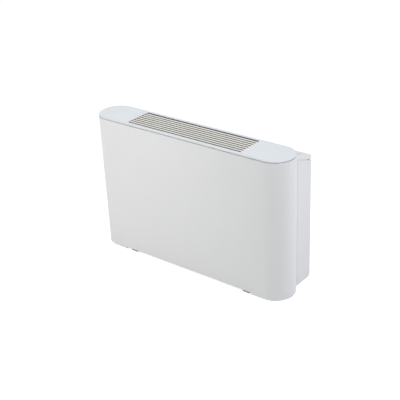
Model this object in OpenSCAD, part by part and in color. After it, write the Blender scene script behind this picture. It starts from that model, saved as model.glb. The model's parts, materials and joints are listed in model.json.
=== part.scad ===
// Cased fan coil unit: a rounded sheet steel cabinet with a bar grille on top, a stepped
// casing behind it, and the filter, blowers, motor and water coil inside.
// Millimetres. X runs along the cabinet, the front faces -Y, and Z is up from the floor.

/* [Cabinet] */
// Overall width across the rounded ends
cabinet_w = 838; // [780:2:1100]
// Overall height to the top of the cap
cabinet_h = 530; // [520:1:600]
// Depth of the rounded front cabinet
cabinet_d = 145; // [142:1:160]
// Depth of the stepped casing behind the cabinet
rear_d = 75; // [72:1:95]
// Thickness of the casing and chassis sheet
sheet = 1.2; // [0.8:0.1:1.5]
// Gap left round pieces that slip into each other
fit_gap = 0.4; // [0.3:0.1:0.6]
// Width of the turned-in foot of the casing ends
foot_flange = 14; // [10:1:16]

/* [Rear casing] */
// Distance from each cabinet end in to the side of the rear casing
rear_inset = 23; // [18:1:28]
// Drop from the cabinet top to the cover where it meets the rounded ends
front_drop = 15.2; // [15:0.2:20]
// Drop from the cabinet top to the back edge of the cover
back_drop = 49; // [42:1:60]
// Height of the cover's side and back lips
cover_lip = 18; // [14:1:24]
// Width of the seam under the lips at the front
seam_gap = 0.8; // [0.6:0.1:1.6]
// Width of the seam under the lips at the back
seam_back = 2.6; // [1:0.1:3]
// Corner radius at the foot of the rear side panels
foot_r = 12; // [6:1:18]
// Height of the rear side panels above the floor
side_rise = 3; // [2:0.5:6]
// Shadow gap between the rounded ends and the rear side panels
corner_gap = 3.4; // [1:0.2:4]
// Radius of the wall fixing holes
wall_hole_r = 4.5; // [3:0.5:6]
// Height between the wall fixing holes
wall_hole_rise = 320; // [280:5:340]

/* [Cap and grille] */
// Height of the cap's rim
cap_rim = 3.5; // [3:0.5:6]
// Rounding of the cap's upper edge
cap_edge = 2.5; // [1.5:0.5:2.5]
// Shadow gap between the rim and the casing
cap_gap = 2.2; // [1:0.1:3]
// Thickness of the cap plate
cap_plate = 2; // [1.5:0.1:2.5]
// Length of the air outlet
grille_w = 495; // [400:1:500]
// Depth of the air outlet
grille_d = 112; // [90:1:114]
// Number of grille bars
bar_count = 7; // [5:1:8]
// Width of a grille bar
bar_w = 8; // [5:0.5:9]
// Height of a grille bar
bar_h = 2; // [2:0.5:6]
// How far the bars sit below the cap's top
bar_drop = 0.8; // [0.4:0.2:4]
// Slot between the opening's edge and the first bar
edge_slot = 8.8; // [6:0.2:10]
// Number of notched combs under the bars
comb_count = 5; // [3:1:7]

/* [Chassis] */
// Length of the open bay at each end of the cabinet
end_bay = 127; // [120:1:135]
// Height of the deck over the blowers
deck_h = 238; // [232:1:246]
// Width of the chassis flanges
flange = 16; // [14:1:18]

/* [Blowers] */
// Radius of the blower wheels
wheel_r = 70; // [62:1:71]
// Number of blades on each wheel
blade_count = 32; // [24:1:40]
// Radial depth of the blades
blade_depth = 12; // [10:1:14]
// Thickness of a blade
blade_t = 1; // [0.8:0.1:1.4]
// Radius of a blade's curve
blade_curve = 11; // [10:0.5:14]
// Running gap between wheel and scroll at the narrowest place
scroll_gap = 6; // [5:0.5:7]
// Growth of the scroll's radius over a quarter turn
scroll_step = 7; // [5:0.5:7.5]
// Thickness of the scroll sheet
scroll_wall = 1; // [0.8:0.1:1.4]

/* [Motor] */
// Radius of the motor shell
motor_r = 48; // [44:1:50]
// Length of the motor shell
motor_l = 76; // [70:1:80]
// Radius of the motor shaft
shaft_r = 6; // [5:0.5:7]
// Radial running clearance of the shaft
shaft_gap = 0.04; // [0.02:0.01:0.08]

/* [Coil] */
// Tubes in each of the two rows
row_tubes = 8; // [6:2:8]
// Height left between the coil and the outlet collar
coil_gap = 39; // [36:1:48]
// Spacing of the two rows
row_pitch = 22; // [21:0.5:23]
// Outside radius of the tubes
tube_r = 4.8; // [4:0.1:5]
// Thickness of the tube walls
tube_wall = 0.6; // [0.4:0.1:1]
// Lean of the coil from upright
coil_tilt = 35; // [32:1:37]
// Spacing of the fins
fin_pitch = 8; // [6:0.5:12]
// Thickness of a fin
fin_t = 0.5; // [0.3:0.1:0.8]

/* [Water connections] */
// Outside radius of the headers
header_r = 8; // [7:0.5:8.5]
// Radius of the threaded connections
thread_r = 9.3; // [8.5:0.1:10]
// Length of the threaded connections
thread_l = 16; // [14:1:20]
// Width across the flats of the unions
union_af = 27; // [25:1:29]
// Outside radius of the drain spigot
spigot_r = 8; // [7:0.5:8.5]

/* [Filter] */
// Thickness of the filter frame
filter_t = 5; // [4:0.1:6]
// Clearance above and below the filter in its rails
filter_gap = 0.7; // [0.5:0.1:1]
// Depth of the filter
filter_d = 172; // [160:1:176]
// Width of the filter's pull tabs
tab_w = 29; // [24:1:48]
// Distance from each end of the filter to the middle of its pull tab
tab_in = 26.8; // [24.8:0.2:48.8]
// Shift of both pull tabs towards the right-hand end
tab_shift = 8; // [0:1:8]
// Openings across the filter's supporting grid
grid_cells = 6; // [4:1:8]

/* [Electrical box] */
// Width of the box from front to back
elec_w = 100; // [90:1:104]
// Height of the box
elec_h = 120; // [110:1:130]
// Depth of the box
elec_d = 46; // [42:1:48]
// Radius of the cable entry
gland_bore = 5; // [4:0.5:6]

/* [Hidden] */
$fn = 64;

// Main planes
end_r = cabinet_d / 2;
end_x = cabinet_w / 2 - end_r;
front_y = -(cabinet_d + rear_d) / 2;
back_y = -front_y;
cabinet_y = front_y + end_r;
seam_y = front_y + cabinet_d;
inner_front = front_y + sheet;
inner_back = back_y - sheet;

// Cap and casing heights
cap_z = cabinet_h - cap_rim;
cap_under = cabinet_h - cap_plate;
edge_in = 3 * cap_edge;
edge_r = 5 * cap_edge;
casing_top = cap_z - cap_gap;
skirt_wall = 1.5;
skirt_inset = 5;
skirt_h = 4;
rim_wall = skirt_inset + skirt_wall;
cap_inner = end_r - rim_wall - fit_gap;

// Rear casing: its side meets the rounded end at meet_y
rear_x = cabinet_w / 2 - rear_inset;
meet_y = cabinet_y + sqrt(end_r * end_r - (end_r - rear_inset) * (end_r - rear_inset));
cover_slope = (back_drop - front_drop) / (back_y - meet_y);
function cover_z(y) = cabinet_h - front_drop - (y - meet_y) * cover_slope;
cover_lap = 4;
room_over = 5;
cover_front = meet_y - cover_lap;
side_front = meet_y + corner_gap;
tongue_h = 10;
tongue_rise = 5;
open_seam = 24;
panel_foot = side_rise + foot_r;
panel_top = cover_z(back_y) - cover_lip - seam_back;
panel_tab = 14;
wall_hole_in = 46;
wall_hole_up = 22;
wall_hole_x = rear_x - wall_hole_in;
wall_hole_z = panel_top / 2 + wall_hole_up;

// Chassis and filter
chassis_x = cabinet_w / 2 - end_bay;
chassis_in = chassis_x - sheet;
boss_h = 6;
chassis_top = cap_under - boss_h;
lip_set = 7;
chassis_lip = casing_top - lip_set;
chassis_front = front_y + rim_wall + fit_gap;
flange_rise = 8;
flange_drop = 20;
flange_foot = panel_foot + flange_rise;
flange_top = panel_top - flange_drop;
deck_under = deck_h - sheet;
deck_lip = 14;
rail_lip = 12;
rail_inset = 8;
rail_stop = 0.6;
filter_side_gap = 0.8;
filter_x = chassis_in - sheet - filter_side_gap;
filter_z = sheet + filter_gap;
notch_h = filter_z + filter_t + filter_gap;
tab_inset = 1;
tab_l = 17;
tab_lip = 3;
tab_round = 0.8;
tab_rise = 0.2;
tab_mid = filter_x - tab_in;
tab_front = front_y + tab_inset;
tab_foot = fit_gap + tab_rise;
filter_front = tab_front + tab_l;
filter_back = filter_front + filter_d;
filter_rim = 9;
filter_rib = 3;
groove_in = 4;
mesh_rise = 2;
mesh_z = filter_z + mesh_rise;
mesh_t = 1.2;
stud_r = 2.5;
stud_l = 10;
stud_out = 1;
stud_x = chassis_x + flange / 2 + stud_out;
stud_gap = 0.3;
stud_low = 0.3;
stud_high = 1.85;

// Grille
bar_first = edge_slot + bar_w / 2;
bar_pitch = (grille_d - 2 * bar_first) / (bar_count - 1);
bar_top = cabinet_h - bar_drop;
bar_foot = bar_top - bar_h;
bar_round = 0.8;
bar_end_gap = 0.5;
bar_fit = 0.1;
collar_wall = 1.2;
collar_gap = 0.5;
collar_x = grille_w / 2 + collar_gap;
collar_y = grille_d / 2 + collar_gap;
collar_lip = cap_inner - collar_y - collar_wall;
collar_h = 40;
collar_foot = cap_under - collar_h;
comb_t = 3;
comb_drop = 14;
comb_end = 12;
comb_foot = bar_foot - comb_drop;
comb_top = min(bar_foot + bar_h / 2, cap_under - fit_gap);
comb_h = comb_top - comb_foot;

// Blowers, with the scroll's arcs struck from a small square round the shaft
scroll_a = scroll_step / 2;
scroll_r1 = wheel_r + scroll_gap + scroll_a;
scroll_r2 = scroll_r1 + scroll_step;
scroll_r3 = scroll_r2 + scroll_step;
scroll_back_gap = 4;
axle_drop = 116;
fan_y = inner_back - scroll_back_gap - scroll_a - scroll_r3 - scroll_wall;
fan_z = deck_h - axle_drop;
tongue_y = 20;
outlet_far = scroll_a + scroll_r3;
motor_side = 30;
scroll_side = 38;
scroll_x0 = motor_l / 2 + motor_side;
scroll_x1 = chassis_in - scroll_side;
scroll_lip = 9;
scroll_front_lip = 14;
scroll_back_lip = 2;
inlet_step = 10;
inlet_wall = 2;
inlet_l = 4;
inlet_r = wheel_r - inlet_step;
wheel_gap = 8;
wheel_x0 = scroll_x0 + scroll_wall + wheel_gap;
wheel_x1 = scroll_x1 - scroll_wall - wheel_gap;
wheel_mid = (wheel_x0 + wheel_x1) / 2;
wheel_in = wheel_r - blade_depth;
hub_wall = 8;
hub_r = shaft_r + hub_wall;
hub_l = 24;
ring_t = 2;
ring_out = 0.6;
ring_in = 3;
disc_t = 2;
disc_r = wheel_r - ring_in;
blade_set = 2;
blade_room = 4;
shaft_end = 6;

// Motor
shell_wall = 2;
shield_t = 4;
stator_half = 25;
rotor_r = motor_r * 0.62;
air_gap = 0.4;
bearing_wall = 8;
bearing_r = shaft_r + bearing_wall;
bearing_w = 8;
boss_wall = 4;
boss_r = bearing_r + boss_wall;
boss_l = 14;
rubber_t = 6;
rubber_r = boss_r + rubber_t;
rubber_w = 8;
cradle_t = 2.5;
cradle_wall = 8;
cradle_lap = 14;
cradle_in = 6;
cradle_arm = rubber_r + cradle_wall;
rib_t = 4;
rib_h = 2;
rib_edge = 6;
shield_x = motor_l / 2;
boss_x0 = shield_x + shield_t;
boss_x1 = boss_x0 + boss_l;
cradle_x = boss_x0 + cradle_in;

// Coil, leaning back from its lower front edge
coil_front = 27;
coil_rise = 47;
coil_side = 36;
coil_y = inner_front + coil_front;
coil_z = deck_h + coil_rise;
tube_pitch = floor(2 * (collar_foot - coil_gap - coil_z) / cos(coil_tilt) / row_tubes) / 2;
coil_u = row_tubes * tube_pitch;
coil_v = 2 * row_pitch;
coil_x = chassis_in - coil_side;
plate_t = 1.5;
plate_edge = 3;
plate_drop = 6;
plate_arm = 12;
bend_gap = 5;
tube_end = coil_x + plate_t + bend_gap;
tube_dip = 3;
baffle_t = 2;
baffle_lap = 14;
row_a = row_pitch / 2;
row_b = row_pitch * 1.5;
hole_gap = 0.05;
circuits = row_tubes / 2;
fin_count = floor((2 * coil_x - 4) / fin_pitch);

// Headers and unions
header_wall = 1.2;
header_out = 18;
header_step = 34;
header_foot = 12;
header_top = 4;
supply_x = -(chassis_x + header_out);
return_x = supply_x - header_step;
branch_u = 2;
pipe_less = 1;
pipe_r = header_r - pipe_less;
pipe_drop = 80;
union_l = 32;
socket_l = 10;
vent_u = coil_u - tube_pitch;
vent_stem_r = 4;
vent_body_r = 7;
vent_screw_r = 2.5;
vent_gap = 1;
vent_l = 14;
vent_bore_l = 11;
vent_head_r = 5;
vent_head_l = 4;
vent_head_gap = 0.4;
vent_slot = 1.2;
vent_x0 = supply_x - header_r - vent_gap;
vent_x1 = vent_x0 - vent_l;

// Drip tray
tray_wall = 2;
tray_gap = 3;
tray_d = 80;
tray_side = 4;
tray_front = inner_front + tray_gap;
tray_back = tray_front + tray_d;
tray_x = chassis_in - tray_side;
tray_h = 26;
tray_back_h = 18;
spigot_wall = 1.6;
spigot_in = 13;
spigot_up = 11;
spigot_out = 34;
spigot_collar = 2.5;
spigot_hole = 4;
spigot_y = tray_front + spigot_in;
spigot_z = deck_h + spigot_up;
spigot_x = -(chassis_x + spigot_out);

// Foam lining, clear of the tray below it and the cap above it
foam_t = 4;
foam_side = 3;
foam_low = 8;
foam_top = 10;

// Electrical box on the right-hand chassis side
elec_wall = 2.5;
elec_x0 = chassis_x;
elec_x1 = chassis_x + elec_d;
elec_in = 46;
elec_up = 62;
elec_y0 = inner_front + elec_in;
elec_y1 = elec_y0 + elec_w;
elec_z0 = deck_h + elec_up;
elec_z1 = elec_z0 + elec_h;
lid_t = 3;
lid_screw_in = 7;
lid_screw_y = [elec_y0 + lid_screw_in, elec_y1 - lid_screw_in];
lid_screw_z = [elec_z0 + lid_screw_in, elec_z1 - lid_screw_in];
lid_screw_l = 14;
post_r = 5;
gland_x = (elec_x0 + elec_x1) / 2;
gland_in = 24;
gland_wall = 3;
gland_y = elec_y0 + gland_in;
gland_r = gland_bore + gland_wall;
gland_nut_h = 6;
gland_nut_edge = 3.5;
gland_nut_r = (gland_r + gland_nut_edge) * 2 / sqrt(3);
gland_l = 14;
gland_dome = 2;
gland_thread = 5;
pole_count = 7;
pole_w = 8;
block_up = 26;
block_h = 22;
block_d = 12;
wall_out = 5;
wall_t = 1.6;
wire_in = 6;
wire_r = 2.2;
can_r = 15;
can_l = 48;
can_drop = 34;
tag_x = 5;
tag_r = 1.5;
tag_l = 6;

// Fasteners
screw_r = 1.6;
screw_gap = 0.15;
screw_head_r = 3.6;
screw_head_h = 2.2;
cross_l = 4;
cross_w = 0.8;
cross_h = 1;
screw_room = 0.4;
cap_screw_in = 26;
cap_boss_r = 5;
cap_screw_x = chassis_x + flange / 2;
cap_screw_y = [inner_front + cap_screw_in, meet_y - cap_screw_in + 2];
deck_screw_l = 9;
deck_screw_in = 20;
scroll_screw_y = 8;
cradle_screw_x = 34;
cradle_screw_y = 24;
nut_r = 4.6;
nut_h = 4;

// Colours
paint = [0.90, 0.91, 0.92];
cap_paint = [0.90, 0.92, 0.93];
grille_paint = [0.86, 0.86, 0.83];
zinc = [0.70, 0.72, 0.74];
dark = [0.36, 0.37, 0.39];
black = [0.12, 0.12, 0.13];
copper = [0.78, 0.45, 0.30];
brass = [0.78, 0.63, 0.32];
alloy = [0.80, 0.82, 0.84];
steel = [0.60, 0.61, 0.63];
foam = [0.22, 0.23, 0.24];
grey = [0.62, 0.63, 0.64];
netting = [0.30, 0.33, 0.36];

// A box between two corners, given in any order
module box(x0, x1, y0, y1, z0, z1) {
  translate([min(x0, x1), min(y0, y1), min(z0, z1)])
    cube([abs(x1 - x0), abs(y1 - y0), abs(z1 - z0)]);
}

// A (y, z) outline carried along X from x0 to x1
module along_x(x0, x1) {
  translate([min(x0, x1), 0, 0])
    rotate([90, 0, 90])
      linear_extrude(abs(x1 - x0))
        children();
}

// A round bar along X
module rod_x(x0, x1, y, z, r) {
  translate([min(x0, x1), y, z])
    rotate([0, 90, 0])
      cylinder(r = r, h = abs(x1 - x0));
}

// A round sleeve along X
module sleeve_x(x0, x1, y, z, r_out, r_in) {
  difference() {
    rod_x(x0, x1, y, z, r_out);
    rod_x(min(x0, x1) - 1, max(x0, x1) + 1, y, z, r_in);
  }
}

module stadium(inset) {
  d = cabinet_d - 2 * inset;
  square([2 * end_x, d], center = true);
  for (s = [-1, 1])
    translate([s * end_x, 0])
      circle(d = d);
}

// A wall that follows the cabinet's outline
module stadium_ring(inset, wall, z0, z1) {
  translate([0, cabinet_y, z0])
    linear_extrude(z1 - z0)
      difference() {
        stadium(inset);
        stadium(inset + wall);
      }
}

// The room that the rear casing takes up in the cabinet's back
module rear_room(gap) {
  y0 = cabinet_y + 2 * room_over;
  y1 = back_y + room_over;
  along_x(-rear_x - gap, rear_x + gap)
    polygon([[y0, -room_over], [y1, -room_over], [y1, cover_z(y1) + gap], [y0, cover_z(y0) + gap]]);
}

module at_casing_studs() {
  for (s = [-1, 1], z = [deck_h * stud_low, deck_h * stud_high])
    translate([s * stud_x, inner_front, z])
      rotate([-90, 0, 0])
        children();
}

module at_cap_screws() {
  for (s = [-1, 1], y = cap_screw_y)
    translate([s * cap_screw_x, y, chassis_top])
      children();
}

// Screws through the deck into the scroll flanges and the motor cradle
module at_deck_screws() {
  for (s = [-1, 1], x = [scroll_x0 + deck_screw_in, scroll_x1 - deck_screw_in])
    translate([s * x, fan_y + tongue_y - scroll_screw_y, deck_h])
      children();
  for (s = [-1, 1], y = [-cradle_screw_y, 0])
    translate([s * cradle_screw_x, fan_y + y, deck_h])
      children();
}

module at_lid_screws() {
  for (y = lid_screw_y, z = lid_screw_z)
    translate([elec_x1 + lid_t, y, z])
      rotate([0, 90, 0])
        children();
}

// A pan-head screw with its head above z = 0
module screw(length) {
  translate([0, 0, -length])
    cylinder(r = screw_r, h = length + 0.5);
  difference() {
    cylinder(r = screw_head_r, h = screw_head_h);
    for (a = [0, 90])
      rotate([0, 0, a])
        translate([-cross_l / 2, -cross_w / 2, screw_head_h - cross_h])
          cube([cross_l, cross_w, 2 * cross_h]);
  }
}

module screw_hole(length) {
  translate([0, 0, -length])
    cylinder(r = screw_r + screw_gap, h = length + 1);
}

// The coil's own frame: y across the rows, z up along the rows
module in_coil() {
  translate([0, coil_y, coil_z])
    rotate([-coil_tilt, 0, 0])
      children();
}

function tube_u(i) = (i + 0.5) * tube_pitch;

module front_casing() {
  color(paint)
    union() {
      difference() {
        union() {
          stadium_ring(0, sheet, 0, casing_top);
          stadium_ring(0, foot_flange, 0, sheet);
        }
        rear_room(fit_gap);
        box(-chassis_in, chassis_in, front_y - 1, cabinet_y, -1, notch_h);
      }
      at_casing_studs()
        cylinder(r = stud_r, h = stud_l);
    }
}

// Half of the cap's cross section, from the middle out to the rounded rim
module cap_half() {
  square([end_r - edge_in, cap_rim]);
  intersection() {
    square([end_r, cap_rim]);
    translate([end_r - edge_in, cap_rim - edge_r])
      circle(r = edge_r);
  }
}

module cap_whole() {
  cap_half();
  mirror([1, 0])
    cap_half();
}

module top_cap() {
  color(cap_paint)
    difference() {
      union() {
        difference() {
          union() {
            translate([0, cabinet_y, cap_z])
              along_x(-end_x, end_x)
                cap_whole();
            for (s = [-1, 1])
              translate([s * end_x, cabinet_y, cap_z])
                rotate([0, 0, -s * 90])
                  rotate_extrude(angle = 180)
                    cap_half();
            stadium_ring(skirt_inset, skirt_wall, cap_z - skirt_h, cap_z);
          }
          translate([0, cabinet_y, cap_z - skirt_h - 1])
            linear_extrude(cap_rim - cap_plate + skirt_h + 1)
              stadium(rim_wall);
        }
        at_cap_screws()
          cylinder(r = cap_boss_r, h = boss_h);
      }
      box(-grille_w / 2, grille_w / 2, cabinet_y - grille_d / 2, cabinet_y + grille_d / 2,
        cap_under - 1, cabinet_h + 1);
      at_cap_screws()
        translate([0, 0, -1])
          cylinder(r = screw_r + screw_gap, h = boss_h + 0.5);
    }
}

module bar_outline(gap) {
  r = bar_round;
  w = bar_w + 2 * gap;
  translate([-w / 2, 0])
    square([w, bar_h - r]);
  translate([r - w / 2, 0])
    square([w - 2 * r, bar_h]);
  for (s = [-1, 1])
    translate([s * (w / 2 - r), bar_h - r])
      circle(r = r);
}

module at_bars() {
  for (i = [0 : bar_count - 1])
    translate([cabinet_y - grille_d / 2 + bar_first + i * bar_pitch, bar_foot])
      children();
}

module grille_bars() {
  color(grille_paint)
    along_x(-grille_w / 2 + bar_end_gap, grille_w / 2 - bar_end_gap)
      at_bars()
        bar_outline(0);
}

module grille_combs() {
  reach = grille_w / 2 - comb_end;
  color(black)
    for (i = [0 : comb_count - 1]) {
      x = -reach + i * 2 * reach / (comb_count - 1);
      along_x(x - comb_t / 2, x + comb_t / 2)
        difference() {
          translate([cabinet_y - collar_y, comb_foot])
            square([2 * collar_y, comb_h]);
          at_bars()
            bar_outline(bar_fit);
        }
    }
}

module rear_panel() {
  reach = rear_x - sheet - fit_gap / 2;
  near = chassis_x + 2 * sheet;
  far = reach - flange - 2 * sheet;
  bays = [[-far, -near], [5 * sheet - near, near - 5 * sheet], [near, far]];
  color(paint)
    difference() {
      union() {
        box(-reach, reach, inner_back, back_y, panel_foot, panel_top);
        for (x = bays) {
          box(x[0], x[1], inner_back - sheet, inner_back, panel_top - panel_tab, panel_top + panel_tab);
          box(x[0], x[1], inner_back - flange, inner_back, panel_foot, panel_foot + sheet);
        }
      }
      for (sx = [-1, 1], sz = [-1, 1])
        translate([sx * wall_hole_x, back_y + 1, wall_hole_z + sz * wall_hole_rise / 2])
          rotate([90, 0, 0])
            cylinder(r = wall_hole_r, h = sheet + 2);
    }
}

// Side panel with a tongue behind the front part of the seam, which opens towards the back
module rear_side(s) {
  x1 = rear_x - sheet;
  y0 = meet_y + cover_lap;
  y1 = back_y - open_seam;
  lip = cover_lip + seam_back;
  union() {
    along_x(s * x1, s * rear_x)
      union() {
        polygon([[side_front, side_rise], [back_y - foot_r, side_rise], [back_y - foot_r, panel_foot],
          [back_y, panel_foot], [back_y, panel_top],
          [side_front, cover_z(side_front) - cover_lip - seam_gap]]);
        translate([back_y - foot_r, panel_foot])
          circle(r = foot_r);
      }
    along_x(s * (x1 - sheet), s * x1)
      polygon([[y0, cover_z(y0) - lip - tongue_h], [y1, cover_z(y1) - lip - tongue_h],
        [y1, cover_z(y1) - tongue_rise], [y0, cover_z(y0) - tongue_rise]]);
    box(s * (x1 - flange), s * x1, inner_back - sheet, inner_back, flange_foot, flange_top);
  }
}

module rear_side_left() {
  color(paint)
    rear_side(-1);
}

module rear_side_right() {
  color(paint)
    rear_side(1);
}

module rear_top_cover() {
  zb = cover_z(back_y) - cover_lip;
  color(paint)
    union() {
      difference() {
        along_x(-rear_x, rear_x)
          polygon([[cover_front, cover_z(cover_front) - sheet], [back_y, cover_z(back_y) - sheet],
            [back_y, cover_z(back_y)], [cover_front, cover_z(cover_front)]]);
        box(-chassis_x - flange, chassis_x + flange, cover_front - 1, seam_y - cover_lap,
          cover_z(back_y), cabinet_h);
      }
      for (s = [-1, 1])
        along_x(s * (rear_x - sheet), s * rear_x)
          polygon([[cover_front, cover_z(cover_front) - cover_lip], [back_y, zb],
            [back_y, cover_z(back_y)], [cover_front, cover_z(cover_front)]]);
      along_x(-rear_x, rear_x)
        polygon([[inner_back, zb], [back_y, zb], [back_y, cover_z(back_y)],
          [inner_back, cover_z(inner_back)]]);
    }
}

// Outline of a chassis side, kept under the sloping cover at the back
module chassis_outline() {
  low = 2 * sheet + fit_gap;
  y1 = cover_front - 1;
  toe_y = front_y + foot_flange + fit_gap;
  toe_z = sheet + fit_gap;
  polygon([[inner_front, toe_z], [toe_y, toe_z], [toe_y, 0], [inner_back, 0],
    [inner_back, cover_z(inner_back) - low], [y1, cover_z(y1) - low], [y1, chassis_top],
    [chassis_front, chassis_top], [chassis_front, chassis_lip], [inner_front, chassis_lip]]);
}

module chassis_side(s) {
  y1 = cover_front - 1;
  difference() {
    union() {
      along_x(s * chassis_in, s * chassis_x)
        chassis_outline();
      box(s * chassis_x, s * (chassis_x + flange), inner_front, inner_front + sheet,
        2 * notch_h, chassis_lip - sheet);
      box(s * chassis_x, s * (chassis_x + flange), inner_back - sheet, inner_back, flange_foot, flange_top);
      box(s * chassis_x, s * (chassis_x + flange), chassis_front, y1, chassis_top - sheet, chassis_top);
    }
    at_casing_studs()
      translate([0, 0, -1])
        cylinder(r = stud_r + stud_gap, h = stud_l);
    at_cap_screws()
      translate([0, 0, -sheet - 1])
        cylinder(r = screw_r + screw_room, h = sheet + 2);
  }
}

module chassis_side_left() {
  color(zinc)
    difference() {
      chassis_side(-1);
      in_coil()
        box(-chassis_x - 1, -chassis_in + 1, 2, coil_v - 2, tube_pitch * 0.2, coil_u - tube_pitch * 0.8);
      rod_x(-chassis_x - 1, -chassis_in + 1, spigot_y, spigot_z, spigot_r + spigot_hole);
    }
}

module chassis_side_right() {
  color(zinc)
    chassis_side(1);
}

module fan_deck() {
  y0 = fan_y + tongue_y;
  y1 = fan_y + outlet_far;
  color(zinc)
    difference() {
      union() {
        box(-chassis_in, chassis_in, inner_front + 1, inner_back, deck_under, deck_h);
        for (s = [-1, 1])
          box(s * (chassis_in - sheet), s * chassis_in, inner_front + 1, inner_back,
            deck_under - deck_lip, deck_h);
        box(-chassis_in, chassis_in, inner_back - sheet, inner_back, deck_under - deck_lip, deck_h);
      }
      for (s = [-1, 1])
        box(s * (scroll_x0 + scroll_wall), s * (scroll_x1 - scroll_wall), y0, y1, deck_under - 1, deck_h + 1);
      at_deck_screws()
        screw_hole(sheet + 1);
    }
}

module outlet_collar() {
  x = collar_x + collar_wall;
  y = collar_y + collar_wall;
  color(black)
    difference() {
      union() {
        box(-x, x, cabinet_y - y, cabinet_y + y, collar_foot, cap_under);
        box(-x - collar_lip, x + collar_lip, cabinet_y - y - collar_lip, cabinet_y + y + collar_lip,
          cap_under - collar_wall, cap_under);
      }
      box(-collar_x, collar_x, cabinet_y - collar_y, cabinet_y + collar_y, collar_foot - 1, cap_under + 1);
    }
}

// Bent sheet that closes the gap from the coil's upper end to the collar
module coil_baffle() {
  top_u = coil_u + 1;
  by = coil_y + row_pitch * cos(coil_tilt) + top_u * sin(coil_tilt);
  bz = coil_z - row_pitch * sin(coil_tilt) + top_u * cos(coil_tilt);
  cy = cabinet_y + collar_y + collar_wall;
  color(zinc)
    union() {
      along_x(-coil_x, coil_x)
        polygon([[by, bz + 1], [by + baffle_t, bz + 1], [cy + baffle_t, collar_foot],
          [cy + baffle_t, collar_foot + baffle_lap], [cy, collar_foot + baffle_lap], [cy, collar_foot]]);
      in_coil()
        box(-coil_x, coil_x, row_pitch - baffle_lap, row_pitch + baffle_lap, coil_u, coil_u + baffle_t);
    }
}

module filter_rail(s) {
  x0 = chassis_in - sheet;
  x1 = x0 - rail_lip;
  y0 = inner_front + rail_inset;
  y1 = filter_back + rail_stop;
  union() {
    box(s * x0, s * chassis_in, y0, y1 + sheet, 0, notch_h + sheet);
    box(s * x1, s * chassis_in, y0, y1 + sheet, 0, sheet);
    box(s * x1, s * chassis_in, y0, y1 + sheet, notch_h, notch_h + sheet);
    box(s * x1, s * chassis_in, y1, y1 + sheet, 0, notch_h + sheet);
  }
}

module filter_rail_left() {
  color(zinc)
    filter_rail(-1);
}

module filter_rail_right() {
  color(zinc)
    filter_rail(1);
}

// Scroll outline round the shaft: three arcs of growing radius and the outlet above
module scroll_outline(grow, height) {
  big = 300;
  intersection() {
    translate([-scroll_a, -scroll_a])
      circle(r = scroll_r1 + grow);
    translate([-big / 2, -scroll_a])
      square([big, big]);
  }
  intersection() {
    translate([scroll_a, -scroll_a])
      circle(r = scroll_r2 + grow);
    translate([scroll_a - big, -scroll_a - big])
      square([big, big]);
  }
  intersection() {
    translate([scroll_a, scroll_a])
      circle(r = scroll_r3 + grow);
    translate([scroll_a, scroll_a - big])
      square([big, big]);
  }
  translate([tongue_y - grow, scroll_a])
    square([outlet_far - tongue_y + 2 * grow, height - scroll_a]);
}

module scroll(s) {
  rise = deck_under - fan_z;
  y0 = fan_y + tongue_y - scroll_front_lip;
  y1 = inner_back - scroll_back_lip;
  difference() {
    union() {
      along_x(s * scroll_x0, s * scroll_x1)
        translate([fan_y, fan_z])
          scroll_outline(scroll_wall, rise);
      box(s * (scroll_x0 - scroll_lip), s * (scroll_x1 + scroll_lip), y0, y1, deck_under - sheet, deck_under);
      rod_x(s * (scroll_x0 - inlet_l), s * (scroll_x1 + inlet_l), fan_y, fan_z, inlet_r + inlet_wall);
    }
    along_x(s * (scroll_x0 + scroll_wall), s * (scroll_x1 - scroll_wall))
      translate([fan_y, fan_z])
        scroll_outline(0, rise + 5);
    rod_x(s * (scroll_x0 - inlet_l - 1), s * (scroll_x1 + inlet_l + 1), fan_y, fan_z, inlet_r);
    at_deck_screws()
      screw_hole(2 * sheet + 1);
  }
}

module scroll_left() {
  color(zinc)
    scroll(-1);
}

module scroll_right() {
  color(zinc)
    scroll(1);
}

// Two arms under a plate, each with a ring seat for the motor's rubber
module motor_cradle() {
  color(zinc)
    difference() {
      union() {
        for (s = [-1, 1])
          along_x(s * (cradle_x - cradle_t / 2), s * (cradle_x + cradle_t / 2))
            translate([fan_y, fan_z]) {
              circle(r = cradle_arm);
              translate([-cradle_arm, 0])
                square([cradle_arm + cradle_lap, deck_under - fan_z]);
            }
        box(-cradle_x, cradle_x, fan_y - cradle_arm, fan_y + cradle_lap, deck_under - cradle_t, deck_under);
      }
      for (s = [-1, 1])
        rod_x(s * (cradle_x - rubber_w), s * (cradle_x + rubber_w), fan_y, fan_z, rubber_r + hole_gap);
      at_deck_screws()
        screw_hole(sheet + cradle_t + 1);
    }
}

module motor_rubber_rings() {
  color(black)
    for (s = [-1, 1])
      sleeve_x(s * (cradle_x - rubber_w / 2), s * (cradle_x + rubber_w / 2), fan_y, fan_z, rubber_r,
        boss_r + hole_gap);
}

module motor_shell() {
  color(steel)
    sleeve_x(-shield_x, shield_x, fan_y, fan_z, motor_r, motor_r - shell_wall);
}

// End shields with bosses that hold the bearings
module motor_end_shields() {
  color(alloy)
    for (s = [-1, 1])
      difference() {
        union() {
          rod_x(s * shield_x, s * boss_x0, fan_y, fan_z, motor_r);
          rod_x(s * shield_x, s * boss_x1, fan_y, fan_z, boss_r);
          for (a = [0 : 60 : 300])
            translate([0, fan_y, fan_z])
              rotate([a, 0, 0])
                box(s * boss_x0, s * (boss_x0 + rib_h), boss_r - 1, motor_r - rib_edge,
                  -rib_t / 2, rib_t / 2);
        }
        rod_x(s * (shield_x - 1), s * (boss_x1 + 1), fan_y, fan_z, shaft_r + air_gap);
        rod_x(s * (shield_x - 1), s * (boss_x0 + bearing_w), fan_y, fan_z, bearing_r);
      }
}

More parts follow.
